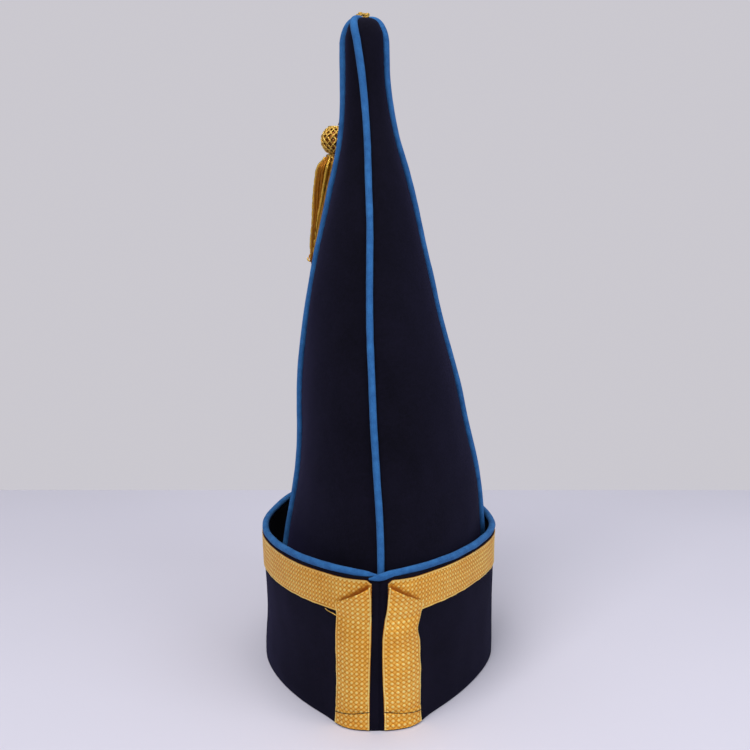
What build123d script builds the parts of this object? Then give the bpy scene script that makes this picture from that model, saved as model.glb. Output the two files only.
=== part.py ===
"""Pointed forage cap: a stiff turned-up turban with gold lace round a tall four-gore bag.

Millimetres.  +Z is up, the front of the cap (where the two lace strips meet) faces -Y and
+X is to the right of someone who looks at the front.  The origin is the middle of the hem,
the face that the cap stands on.
"""
from build123d import *
import math
import os

os.makedirs("parts", exist_ok=True)

# ---- driving dimensions -------------------------------------------------------------------
turban_half_width = 84.0
turban_half_depth = 118.5
front_fullness = 0.36         # share of each half axis that a Bezier handle takes: 0.55 is an ellipse
rear_fullness = 0.46
rim_side_height = 98.0        # middle of the rim piping at the sides
rim_end_height = 106.0        # and at the front and rear
rim_piping_radius = 2.5

turban_cloth = 1.5
turban_canvas = 0.9
turban_lining_cloth = 0.5
canvas_hem = 4.0              # the canvas stops this far above the hem
hem_depth = 6.0               # the turned hem that joins the turban to the bag
pocket_fit = 0.0              # the seam piping touches the turban lining at the hem

bag_height = 448.0            # top of the felt, above the hem
bag_cloth = 2.0
seam_piping_radius = 2.4
seam_piping_proud = 1.2       # middle of the piping outside the cloth
bag_fit = 0.6                 # stiffening stands this far inside the cloth
bag_canvas = 1.0
tip_length = 96.0             # from the upper fold line to the top of the felt
middle_length = 126.0         # between the two fold lines
fold_gap = 2.0                # between two sections of the stiffening where they are closest
fold_angle = 76.0             # the stiffening is notched at the sides so that it folds this far
panel_gap = 0.4               # between the four panels of the stiffening
wadding_length = 56.0
wadding_fit = 0.5

sweatband_height = 36.0
sweatband_leather = 1.2

lace_width = 23.5
lace_thickness = 1.1
lace_below_piping = 1.2
lace_gap = 9.5                # between the two strips at the front
fold_flap = 0.9               # thickness of the lace that is doubled over at each mitre
fold_start = 2.5              # the mitre's fold starts this far below the lace's upper edge
fold_drop = 11.0              # and runs this far down across the strip
strip_lift = 1.0              # the strips end this far above the hem
stitch_height = 11.0          # the tacking across each strip, above the hem
stitch_length = 1.8
stitch_pitch = 2.6
stitch_proud = 0.5

knot_radius = 3.0
knot_offset = (-9.5, 1.0)
knot_height = 5.6             # above the felt
cord_radius = 1.5
head_radius = 10.2            # outside the net
net_thickness = 0.9
net_fit = 0.15
head_bore = 2.2
hang_gap = 2.2                # bare loop between the cord's end and the head
binding_height = 3.5
binding_radius = 6.0
fringe_length = 75.0
strand_radius = 1.0
FRINGE_RINGS = [(1, 0.0), (7, 2.9), (14, 5.9)]    # strands and radius of each ring
fringe_tip = (-46.0, 44.0, 284.0)   # where the middle of the fringe points

# The cord leaves the knot, turns over the shoulder of the bag and hangs to the tassel.
CORD_ROUTE = [
    (-12.0, 3.5, 454.5),
    (-17.5, 9.5, 452.5),
    (-22.0, 14.5, 444.0),
    (-23.8, 17.4, 428.0),
    (-27.4, 21.4, 405.0),
    (-28.6, 26.6, 383.0),
]

# Outline of the bag: height, half width and half depth as shares of the whole, and lean in mm.
BAG_OUTLINE = [
    (0.000, 1.000, 1.000, 0.0),
    (0.230, 0.914, 0.985, 4.3),
    (0.364, 0.795, 0.836, 3.3),
    (0.442, 0.741, 0.747, -0.3),
    (0.547, 0.628, 0.622, -4.2),
    (0.647, 0.509, 0.498, -5.9),
    (0.743, 0.378, 0.365, -5.9),
    (0.839, 0.248, 0.231, -7.7),
    (0.908, 0.200, 0.163, -9.6),
    (0.969, 0.191, 0.138, -10.2),
    (1.000, 0.108, 0.075, -9.1),
]
tip_fullness = 0.55
section_margin = 8.0          # sections of the outline nearer than this to an end are left out
rim_overrun = 5.0             # the rim's side view runs this far past the lace, front and rear
cut_margin = 20.0             # walls are drawn this far above the rim before it is cut

# ---- what follows from them ---------------------------------------------------------------
turban_wall = turban_cloth + turban_canvas + turban_lining_cloth
pocket_gap = seam_piping_proud + seam_piping_radius + pocket_fit     # turban lining to bag at the hem
bag_half_width = turban_half_width - turban_wall - pocket_gap
bag_half_depth = turban_half_depth - turban_wall - pocket_gap
rim_reach = turban_half_depth + rim_overrun
cut_height = rim_end_height + cut_margin
upper_fold = bag_height - tip_length
lower_fold = upper_fold - middle_length
QUARTERS = {"front_left": (-1, -1), "front_right": (1, -1), "rear_left": (-1, 1), "rear_right": (1, 1)}


def fullness_of(sy):
    """Fullness of the plan in front (sy < 0) or at the rear."""
    return front_fullness if sy < 0 else rear_fullness


def quarter_curve(w, d, fullness, cx, sx, sy):
    """Handles of one quarter of the plan, from the side to the front or rear."""
    return [
        (cx + sx * w, 0),
        (cx + sx * w, sy * fullness * d),
        (cx + sx * fullness * w, sy * d),
        (cx, sy * d),
    ]


def draw_ring_quarter(w, d, wall, fullness, cx, sx, sy):
    """Draw the closed outline of a quarter of a ring, with its wall inside w and d."""
    outside = quarter_curve(w, d, fullness, cx, sx, sy)
    inside = quarter_curve(w - wall, d - wall, fullness, cx, sx, sy)
    Bezier(*outside)
    Line(outside[3], inside[3])
    Bezier(*reversed(inside))
    Line(inside[0], outside[0])


def draw_plan(inset):
    """Draw the whole closed plan of the turban, moved inward by inset."""
    for sx, sy in QUARTERS.values():
        w = turban_half_width - inset
        d = turban_half_depth - inset
        Bezier(*quarter_curve(w, d, fullness_of(sy), 0, sx, sy))


def rim_curve(offset):
    """Draw the side view of a line that follows the rim, offset above the piping's middle."""
    side = rim_side_height + offset
    end = rim_end_height + offset
    for sy in (-1, 1):
        handle = sy * fullness_of(sy) * rim_reach
        far = sy * rim_reach
        Bezier((0, side), (handle, side), (far, end), (far, end))


def cut_beyond_rim(offset, limit):
    """Take away what lies between the rim line and the height limit, in the part being built."""
    end = rim_end_height + offset
    with BuildSketch(Plane.YZ) as waste:
        with BuildLine():
            rim_curve(offset)
            Polyline((-rim_reach, end), (-rim_reach, limit), (rim_reach, limit), (rim_reach, end))
        make_face()
    extrude(waste.sketch, amount=2 * turban_half_width, both=True, mode=Mode.SUBTRACT)


def cut_above_rim(offset):
    """Take away everything higher than the rim line, in the part being built."""
    cut_beyond_rim(offset, 4 * turban_half_depth)


def turban_layer(name, inset, wall, base, sides):
    """One cloth or canvas layer of the turban, as far round as sides says."""
    with BuildPart() as layer:
        with BuildSketch(Plane.XY.offset(base)):
            with BuildLine():
                draw_plan(inset)
            make_face()
            with BuildLine():
                draw_plan(inset + wall)
            make_face(mode=Mode.SUBTRACT)
        extrude(amount=cut_height)
        cut_above_rim(-rim_piping_radius)
        if sides:
            split(bisect_by=Plane.YZ, keep=Keep.BOTTOM if sides < 0 else Keep.TOP)
    save(layer, name)


def save(builder, name):
    """Label a finished piece and write it."""
    builder.part.label = name
    export_step(builder.part, f"parts/{name}.step")


def bag_at(z):
    """Half width, half depth and lean of the bag's cloth at a height."""
    share = z / bag_height
    for low, high in zip(BAG_OUTLINE, BAG_OUTLINE[1:]):
        if share <= high[0]:
            break
    step = (share - low[0]) / (high[0] - low[0])
    mixed = [a + (b - a) * step for a, b in zip(low, high)]
    return mixed[1] * bag_half_width, mixed[2] * bag_half_depth, mixed[3]


def bag_fullness(z, sy):
    """The bag is as full as the turban at the hem and nearly round at the tip."""
    return fullness_of(sy) + (tip_fullness - fullness_of(sy)) * z / bag_height


def bag_heights(bottom, top):
    """Heights of the sections of a piece of the bag between bottom and top."""
    inner = [row[0] * bag_height for row in BAG_OUTLINE]
    kept = [z for z in inner if bottom + section_margin < z < top - section_margin]
    return [bottom] + kept + [top]


def gore(name, sx, sy):
    """A quarter of the bag's cloth, hollowed along both edges for the seam piping."""
    with BuildPart() as cloth:
        for z in bag_heights(hem_depth, bag_height):
            w, d, lean = bag_at(z)
            with BuildSketch(Plane.XY.offset(z)):
                with BuildLine():
                    draw_ring_quarter(w, d, bag_cloth, bag_fullness(z, sy), lean, sx, sy)
                make_face()
                side_seam = (lean + sx * (w + seam_piping_proud), 0)
                end_seam = (lean, sy * (d + seam_piping_proud))
                with Locations(side_seam, end_seam):
                    Circle(seam_piping_radius, mode=Mode.SUBTRACT)
        loft(ruled=True)
    save(cloth, f"bag_{name}_gore")


def seam_piping(name, sx, sy):
    """The corded edging that stands in one seam of the bag."""
    with BuildPart() as piping:
        for z in bag_heights(hem_depth, bag_height):
            w, d, lean = bag_at(z)
            with BuildSketch(Plane.XY.offset(z)):
                with Locations((lean + sx * (w + seam_piping_proud), sy * (d + seam_piping_proud))):
                    Circle(seam_piping_radius)
        loft(ruled=True)
    save(piping, f"bag_{name}_piping")


def bag_panel(bottom, top, inset, wall, sx, sy):
    """Build one quarter of a ring that follows the inside of the bag, clear of its neighbours."""
    sections = []
    for z in bag_heights(bottom, top):
        w, d, lean = bag_at(z)
        with BuildSketch(Plane.XY.offset(z)) as section:
            with BuildLine():
                draw_ring_quarter(w - inset, d - inset, wall, bag_fullness(z, sy), lean, sx, sy)
            make_face()
            trim_panel(lean, sx, sy)
        sections.append(section.sketch)
    loft(sections, ruled=True)


def trim_panel(lean, sx, sy):
    """Cut a panel's section back from both of its seams, in the sketch being drawn."""
    reach = 2 * turban_half_depth
    for width, depth in ((panel_gap, reach), (reach, panel_gap)):
        with Locations((lean, 0)):
            Rectangle(width, depth, mode=Mode.SUBTRACT)


def cut_fold_notch(height, lean, side):
    """Cut the notch that lets the stiffening fold at a height, above it (side 1) or below (-1)."""
    reach = 2 * turban_half_width
    rise = reach * math.tan(math.radians(fold_angle / 2))
    near = height + side * fold_gap / 2
    with BuildSketch(Plane.XZ) as notch:
        with BuildLine():
            Polyline((lean, near), (lean + reach, near + side * rise), (lean + reach, height - side * reach),
                     (lean - reach, height - side * reach), (lean - reach, near + side * rise), close=True)
        make_face()
    extrude(notch.sketch, amount=2 * turban_half_depth, both=True, mode=Mode.SUBTRACT)


def stiffening(name, bottom, top):
    """One section of the canvas that holds the bag up: four panels, notched at the fold lines."""
    panels = []
    for sx, sy in QUARTERS.values():
        with BuildPart() as panel:
            bag_panel(bottom, top, bag_cloth + bag_fit, bag_canvas, sx, sy)
            if bottom > hem_depth:
                cut_fold_notch(bottom, bag_at(bottom)[2], 1)
            if top < bag_height:
                cut_fold_notch(top, bag_at(top)[2], -1)
        panels.append(panel.part)
    save_group(name, panels)


def save_group(name, solids):
    """Write separate solids as one labelled piece."""
    group = Compound(label=name, children=[solid for part in solids for solid in part.solids()])
    export_step(group, f"parts/{name}.step")


def hem():
    """The turned hem that closes the foot of the pocket and joins the turban to the bag."""
    with BuildPart() as seam:
        with BuildSketch():
            with BuildLine():
                draw_plan(turban_wall)
            make_face()
            with BuildLine():
                draw_plan(turban_wall + pocket_gap + bag_cloth)
            make_face(mode=Mode.SUBTRACT)
        extrude(amount=hem_depth)
    save(seam, "hem")


def rim_piping():
    """The corded edging along the top edge of the turban, from the front round to the front."""
    with BuildPart() as piping:
        with BuildLine() as path:
            w = turban_half_width - turban_wall / 2
            d = turban_half_depth - turban_wall / 2
            for sx, sy in QUARTERS.values():
                plan = quarter_curve(w, d, fullness_of(sy), 0, sx, sy)
                heights = (rim_side_height, rim_side_height, rim_end_height, rim_end_height)
                Bezier(*[(x, y, z) for (x, y), z in zip(plan, heights)])
        for edge in path.edges():
            with BuildSketch(Plane(edge @ 0, z_dir=edge % 0)):
                Circle(rim_piping_radius)
            sweep(path=edge)
    save(piping, "rim_piping")


def lace_top():
    """How far the upper edge of the lace lies below the middle of the rim piping."""
    return -rim_piping_radius - lace_below_piping


def lace_band():
    """The lace that runs round the turban under the piping, open at the front."""
    with BuildPart() as lace:
        with BuildSketch():
            with BuildLine():
                draw_plan(-lace_thickness)
            make_face()
            with BuildLine():
                draw_plan(0)
            make_face(mode=Mode.SUBTRACT)
        extrude(amount=cut_height)
        cut_above_rim(lace_top())
        cut_beyond_rim(lace_top() - lace_width, -turban_half_depth)
        Box(lace_gap + 2 * lace_width, turban_half_depth * 2, cut_height,
            align=(Align.CENTER, Align.MAX, Align.MIN), mode=Mode.SUBTRACT)
    save(lace, "lace_band")


def front_shell(thickness, inset):
    """Extrude a thin skin over the front of the turban, in the part being built."""
    with BuildSketch() as skin:
        with BuildLine():
            draw_plan(inset - thickness)
        make_face()
        with BuildLine():
            draw_plan(inset)
        make_face(mode=Mode.SUBTRACT)
    extrude(skin.sketch, amount=cut_height)


def keep_front(profile, sx):
    """Keep only what lies behind a closed outline drawn on the front, mirrored by sx."""
    with BuildSketch(Plane.XZ) as kept:
        with BuildLine():
            Polyline(*[(sx * x, z) for x, z in profile], close=True)
        make_face()
    extrude(kept.sketch, amount=2 * turban_half_depth, mode=Mode.INTERSECT)


def lace_strip(name, sx):
    """The lace that runs down the front from the band's mitred corner to the hem."""
    near = lace_gap / 2
    far = near + lace_width
    with BuildPart() as strip:
        front_shell(lace_thickness, 0)
        cut_above_rim(lace_top())
        keep_front([(near, strip_lift), (far, strip_lift), (far, cut_height), (near, cut_height)], sx)
    save(strip, f"lace_strip_{name}")


def lace_fold(name, sx):
    """The doubled corner where the lace turns from the band down into the strip."""
    near = lace_gap / 2
    far = near + lace_width
    top = rim_end_height + lace_top()
    with BuildPart() as fold:
        front_shell(fold_flap, -lace_thickness)
        keep_front([(near, top - fold_start), (far, top - fold_start - fold_drop), (far, top - lace_width),
                    (near, top - lace_width)], sx)
    save(fold, f"lace_fold_{name}")


def lace_stitches():
    """Dark tacking stitches that hold each strip down near the hem."""
    with BuildPart() as stitches:
        front_shell(stitch_proud, -lace_thickness)
        with BuildSketch(Plane.XZ) as marks:
            count = int(lace_width / stitch_pitch)
            for sx in (-1, 1):
                with Locations((sx * (lace_gap + lace_width) / 2, stitch_height)):
                    with GridLocations(stitch_pitch, 1, count, 1):
                        Rectangle(stitch_length, stitch_proud * 2)
        extrude(amount=2 * turban_half_depth, mode=Mode.INTERSECT)
    save(stitches, "lace_stitches")


def sweatband():
    """The leather band that sits on the head, inside the foot of the bag."""
    inset = bag_cloth + 2 * bag_fit + bag_canvas
    with BuildPart() as band:
        for sx, sy in QUARTERS.values():
            for z in (hem_depth, sweatband_height):
                w, d, lean = bag_at(z)
                with BuildSketch(Plane.XY.offset(z)):
                    with BuildLine():
                        draw_ring_quarter(w - inset, d - inset, sweatband_leather, bag_fullness(z, sy),
                                          lean, sx, sy)
                    make_face()
            loft(ruled=True)
    save(band, "sweatband")


def wadding():
    """Soft filling that keeps the tip round."""
    inset = bag_cloth + bag_fit + bag_canvas + wadding_fit
    with BuildPart() as filling:
        for z in bag_heights(bag_height - wadding_length, bag_height):
            w, d, lean = bag_at(z)
            with BuildSketch(Plane.XY.offset(z)):
                with Locations((lean, 0)):
                    Ellipse(w - inset, d - inset)
        loft(ruled=True)
    save(filling, "tip_wadding")


def cord_corner_radii(route):
    """The largest arc at each corner that its two runs leave room for."""
    radii = []
    for before, corner, after in zip(route, route[1:], route[2:]):
        come = Vector(*corner) - Vector(*before)
        leave = Vector(*after) - Vector(*corner)
        turn = math.radians(come.get_angle(leave))
        radii.append(0.45 * min(come.length, leave.length) / math.tan(turn / 2))
    return radii


def tassel_cord():
    """The cord that the tassel hangs on."""
    radii = cord_corner_radii(CORD_ROUTE)
    print("cord corner radii", [round(radius, 1) for radius in radii])
    with BuildPart() as cord:
        with BuildLine() as route:
            FilletPolyline(*CORD_ROUTE, radius=radii)
        with BuildSketch(Plane(route.line @ 0, z_dir=route.line % 0)):
            Circle(cord_radius)
        sweep(path=route.line)
    length = route.wire().length
    print("cord length", round(length, 1), "volume", round(cord.part.volume, 1),
          "of", round(length * math.pi * cord_radius ** 2, 1))
    save(cord, "tassel_cord")


def tip_knot():
    """The knot at the top of the bag that the tassel cord leaves from."""
    with BuildPart() as knot:
        with Locations((*knot_offset, bag_height + knot_height)):
            Sphere(knot_radius)
    save(knot, "tip_knot")


def tassel_parts():
    """The tassel: wooden head, gold net over it, thread binding and a fringe of cord strands."""
    top = Vector(*CORD_ROUTE[-1])
    down = (Vector(*fringe_tip) - top).normalized()
    centre = top + down * (hang_gap + head_radius)
    head = Plane(centre, z_dir=down)
    core_radius = head_radius - net_thickness - net_fit
    with BuildPart(head) as core:
        Sphere(core_radius)
        Cylinder(head_bore, 4 * head_radius, mode=Mode.SUBTRACT)
    save(core, "tassel_head_core")
    with BuildPart(head) as net:
        Sphere(head_radius)
        Sphere(core_radius + net_fit, mode=Mode.SUBTRACT)
        Cylinder(head_bore, 4 * head_radius, mode=Mode.SUBTRACT)
    save(net, "tassel_net")
    foot = head.offset(head_radius)
    with BuildPart(foot) as binding:
        Cylinder(binding_radius, binding_height, align=(Align.CENTER, Align.CENTER, Align.MIN))
    save(binding, "tassel_binding")
    bottom = foot.offset(binding_height)
    with BuildPart() as fringe:
        for count, ring_radius in FRINGE_RINGS:
            for i in range(count):
                turn = math.tau * i / count
                across = ring_radius * math.cos(turn)
                deep = ring_radius * math.sin(turn)
                root = bottom.from_local_coords((across, deep, 0))
                with BuildSketch(Plane(root, z_dir=down)):
                    Circle(strand_radius)
                extrude(amount=fringe_length)
    save(fringe, "tassel_fringe")


# ---- turban -------------------------------------------------------------------------------
turban_layer("turban_left_cloth", 0, turban_cloth, 0, -1)
turban_layer("turban_right_cloth", 0, turban_cloth, 0, 1)
turban_layer("turban_canvas", turban_cloth, turban_canvas, canvas_hem, 0)
turban_layer("turban_lining", turban_cloth + turban_canvas, turban_lining_cloth, hem_depth, 0)
hem()
rim_piping()
sweatband()

# ---- lace ---------------------------------------------------------------------------------
lace_band()
for side, sx in (("left", -1), ("right", 1)):
    lace_strip(side, sx)
    lace_fold(side, sx)
lace_stitches()

# ---- bag ----------------------------------------------------------------------------------
for name, (sx, sy) in QUARTERS.items():
    gore(name, sx, sy)
for name, (sx, sy) in {"front": (0, -1), "rear": (0, 1), "left": (-1, 0), "right": (1, 0)}.items():
    seam_piping(name, sx, sy)
stiffening("bag_canvas_lower", hem_depth, lower_fold)
stiffening("bag_canvas_middle", lower_fold, upper_fold)
stiffening("bag_canvas_upper", upper_fold, bag_height)
wadding()

# ---- tassel -------------------------------------------------------------------------------
tip_knot()
tassel_cord()
tassel_parts()
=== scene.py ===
"""Looks of the pointed forage cap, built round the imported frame.

Lengths in this file are millimetres in the cap's own axes: +Z up, the front faces -Y. make_mesh
turns them into metres.
"""
import math

import bpy
import numpy as np
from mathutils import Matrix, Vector


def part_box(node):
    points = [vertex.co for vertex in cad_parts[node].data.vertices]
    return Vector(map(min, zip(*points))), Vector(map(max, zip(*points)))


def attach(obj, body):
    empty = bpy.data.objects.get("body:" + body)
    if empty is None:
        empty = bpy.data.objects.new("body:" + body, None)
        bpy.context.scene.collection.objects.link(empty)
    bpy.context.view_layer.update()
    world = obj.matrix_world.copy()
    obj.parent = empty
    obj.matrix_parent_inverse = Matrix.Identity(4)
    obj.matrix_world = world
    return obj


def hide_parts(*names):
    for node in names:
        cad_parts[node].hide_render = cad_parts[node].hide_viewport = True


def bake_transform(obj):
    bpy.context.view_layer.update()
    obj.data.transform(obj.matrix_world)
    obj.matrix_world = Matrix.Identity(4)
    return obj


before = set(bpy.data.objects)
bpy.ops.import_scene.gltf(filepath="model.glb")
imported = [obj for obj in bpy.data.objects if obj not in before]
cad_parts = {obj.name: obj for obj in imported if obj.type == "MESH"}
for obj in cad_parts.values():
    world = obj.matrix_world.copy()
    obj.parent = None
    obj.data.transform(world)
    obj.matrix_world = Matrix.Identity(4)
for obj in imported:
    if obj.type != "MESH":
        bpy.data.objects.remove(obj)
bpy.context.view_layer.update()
MM = 0.001
FULL_TURN = 2 * math.pi
TINY = 1e-6

# ---- sizes shared with the cap's frame ------------------------------------------------------
turban_box = [np.array(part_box(node)) / MM for node in ("turban_left_cloth", "turban_right_cloth")]
TURBAN_HALF_WIDTH = float(turban_box[1][1][0])
TURBAN_HALF_DEPTH = float(turban_box[0][1][1])
rim_box = np.array(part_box("rim_piping")) / MM
RIM_RADIUS = 2.5
RIM_SIDE = float(rim_box[0][2]) + RIM_RADIUS
RIM_END = float(rim_box[1][2]) - RIM_RADIUS
TURBAN_WALL = 2.9
CLOTH = 1.5
HEM_DEPTH = 6.0
HEM_HALF_WALL = 2.75

# Fullness of the plan's four quarters: the share of each half axis that a Bezier handle takes.
PLAN_FULLNESS = {"front_left": 0.40, "rear_left": 0.46, "rear_right": 0.46, "front_right": 0.33}
BAG_FRONT_FULLNESS = 0.38
# The worn turban: it is drawn in at its waist, and full on both sides of the ridge at the front.
WAIST_DEPTH, WAIST_HEIGHT, WAIST_SPREAD = 1.5, 38, 26
NOSE_REACH, NOSE_SPREAD, NOSE_FOOT, NOSE_RIM = 21, 14, 4.0, 1.4

LACE_WIDTH = 23.5
LACE_BELOW_RIM = 3.7
LACE_HALF_GAP = 4.75
LACE_LIFT = 0.25
LACE_BODY = 0.8
LACE_RELIEF = 0.6
WEAVE_PITCH = 2.25
EDGE_CORD = 0.6
# The lace's fold at a front corner: where its mouth starts and how far it drops over the lace's width.
FOLD_START = 2.6
FOLD_DROP = 15.0
STRIP_FOOT = 1.2
TACK_HEIGHT = 12.5
# Radii of the threads: tacking, sweatband stitches, and the loose end.
TACK_THREAD, BAND_THREAD, LOOSE_THREAD = 0.24, 0.3, 0.3

BAG_CLOTH = 2.0
LINING_GAP = 0.5
LINING_CLOTH = 0.6
PIPING_RADIUS = 2.25
PIPING_PROUD = 1.2
# The bag's outline: height, half width, half depth, lean, and how far the front seam strays.
BAG_OUTLINE = np.array([
    (6, 77.5, 112.0, 0.0, -3.0),
    (60, 73.2, 111.4, 3.2, -3.4),
    (103, 68.6, 110.2, 5.0, -4.3),
    (140, 63.1, 100.0, 5.9, -5.7),
    (163, 59.4, 93.5, 3.9, -5.8),
    (198, 55.3, 83.5, 0.1, -4.0),
    (245, 46.6, 69.5, -3.7, -2.1),
    (290, 37.4, 55.5, -5.5, -0.4),
    (333, 27.4, 41.0, -5.6, -0.9),
    (376, 17.2, 26.0, -7.3, -1.0),
    (407, 13.6, 18.5, -9.3, -1.1),
    (434, 13.1, 15.5, -9.9, -4.8),
])
DOME_HEIGHT = 16.0
TIP_FULLNESS = 0.55
LOWER_FOLD = 226.0
UPPER_FOLD = 352.0
BAG_SPLIT = (LOWER_FOLD + UPPER_FOLD) / 2
BAG_FOOT = 7
BAG_TOP = BAG_OUTLINE[-1, 0]
PIPING_END = 0.92
PIPING_TUCK = 3.0
QUARTERS = {"front_left": (-1, -1), "front_right": (1, -1), "rear_left": (-1, 1), "rear_right": (1, 1)}


def fit(piece, body, slot, *nodes):
    """The piece rides on one body and stands for the named CAD nodes, which it hides; slot is not used."""
    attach(piece, body)
    if nodes:
        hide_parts(*nodes)


# ---- meshes ---------------------------------------------------------------------------------
def make_mesh(name, points, faces, material, uv=None):
    """A smooth mesh object from points in millimetres. uv holds one pair per point."""
    mesh = bpy.data.meshes.new(name)
    mesh.from_pydata((np.asarray(points) * MM).tolist(), [], faces)
    mesh.polygons.foreach_set("use_smooth", [True] * len(mesh.polygons))
    if uv is not None:
        layer = mesh.uv_layers.new(name="cloth")
        corners = np.zeros(len(mesh.loops), dtype=np.int32)
        mesh.loops.foreach_get("vertex_index", corners)
        layer.data.foreach_set("uv", np.asarray(uv, dtype=np.float32)[corners].ravel())
    mesh.validate()
    mesh.update()
    obj = bpy.data.objects.new(name, mesh)
    bpy.context.scene.collection.objects.link(obj)
    mesh.materials.append(material)
    return obj


def grid_faces(rows, cols, wrap_rows=False, wrap_cols=False):
    """Quads of a grid of points numbered row by row."""
    r = np.arange(rows if wrap_rows else rows - 1)
    c = np.arange(cols if wrap_cols else cols - 1)
    rr, cc = np.meshgrid(r, c, indexing="ij")
    nr, nc = (rr + 1) % rows, (cc + 1) % cols
    quads = np.stack([rr * cols + cc, rr * cols + nc, nr * cols + nc, nr * cols + cc], -1)
    return quads.reshape(-1, 4).tolist()


def grid_object(name, grid, material, wrap_rows=False, wrap_cols=False, caps=(), uv=None, flip=False):
    """A mesh from a grid of points. caps holds the rows (0, -1) closed with one face."""
    rows, cols = grid.shape[:2]
    faces = grid_faces(rows, cols, wrap_rows, wrap_cols)
    for row in caps:
        ring = list(range(cols)) if row == 0 else list(range((rows - 1) * cols, rows * cols))
        faces.append(ring[::-1] if row == 0 else ring)
    if flip:
        faces = [face[::-1] for face in faces]
    flat_uv = None if uv is None else uv.reshape(-1, 2)
    return make_mesh(name, grid.reshape(-1, 3), faces, material, flat_uv)


def bezier(p0, p1, p2, p3, u):
    """Points of a cubic Bezier at each u."""
    u = np.asarray(u, float)
    if np.ndim(p0):
        u = u[..., None]
    p0, p1, p2, p3 = (np.asarray(p, float) for p in (p0, p1, p2, p3))
    return (1 - u) ** 3 * p0 + 3 * u * (1 - u) ** 2 * p1 + 3 * u * u * (1 - u) * p2 + u ** 3 * p3


def smoothstep(low, high, x):
    """0 below low, 1 above high, smooth between."""
    t = np.clip((np.asarray(x, float) - low) / (high - low), 0, 1)
    return t * t * (3 - 2 * t)


def bump(x, centre, width):
    """A smooth hump, 1 at centre."""
    return np.exp(-((np.asarray(x, float) - centre) / width) ** 2)


def ripple(points, size, seed):
    """Smooth noise from -1 to 1, with features of about size."""
    rng = np.random.default_rng(seed)
    total = np.zeros(points.shape[:-1])
    waves = 7
    for _ in range(waves):
        way = rng.normal(size=3)
        way *= rng.uniform(0.6, 1.5) / np.linalg.norm(way)
        total += np.sin(points @ way * FULL_TURN / (2 * size) + rng.uniform(0, FULL_TURN))
    return total / math.sqrt(waves) / 1.6


def unit(vectors):
    """Vectors scaled to length 1."""
    return vectors / np.linalg.norm(vectors, axis=-1, keepdims=True)


def run_length(path):
    """Distance along a path at each of its points."""
    return np.r_[0, np.cumsum(np.linalg.norm(np.diff(path, axis=0), axis=1))]


def around(angle, radius, z):
    """Points at an angle and radius round the Z axis, at height z."""
    return np.stack(np.broadcast_arrays(radius * np.cos(angle), radius * np.sin(angle), z), -1)


def wave_offsets(points, size, seeds):
    """Smooth noise in each of three directions."""
    return np.stack([ripple(points, size, seed) for seed in seeds], -1)


def tube(path, radius, sides, twist=0.0, lobes=0, lobe_depth=0.0):
    """Rings of a tube round a path; radius may differ along it. Lobes make a twisted strand."""
    path = np.asarray(path, float)
    tangent = unit(np.gradient(path, axis=0))
    side = unit(np.cross(tangent[0], (0, 0, 1) if abs(tangent[0][2]) < 0.9 else (0, 1, 0)))
    angle = np.linspace(0, FULL_TURN, sides, endpoint=False)
    step = run_length(path)
    rings = []
    for point, along, width, run in zip(path, tangent, np.broadcast_to(radius, len(path)), step):
        side = unit(side - along * (side @ along))
        r = width * (1 + lobe_depth * np.cos(lobes * angle - twist * run))
        ring = around(angle, r, 0) @ np.array([side, np.cross(along, side), along])
        rings.append(point + ring)
    return np.array(rings), step


def tube_object(name, path, radius, material, **shape):
    """A closed tube as an object, with uv in millimetres along and round it."""
    rings, step = tube(path, radius, **shape)
    sides = rings.shape[1]
    around = np.linspace(0, FULL_TURN * float(np.mean(radius)), sides, endpoint=False)
    uv = np.stack(np.broadcast_arrays(step[:, None], around[None, :]), -1)
    return grid_object(name, rings, material, wrap_cols=True, caps=(0, -1), uv=uv, flip=True)


def join(name, parts):
    """One object from several, keeping the first one's material."""
    bpy.ops.object.select_all(action="DESELECT")
    for part in parts:
        part.select_set(True)
    bpy.context.view_layer.objects.active = parts[0]
    bpy.ops.object.join()
    parts[0].name = name
    parts[0].data.name = name
    return parts[0]


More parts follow.
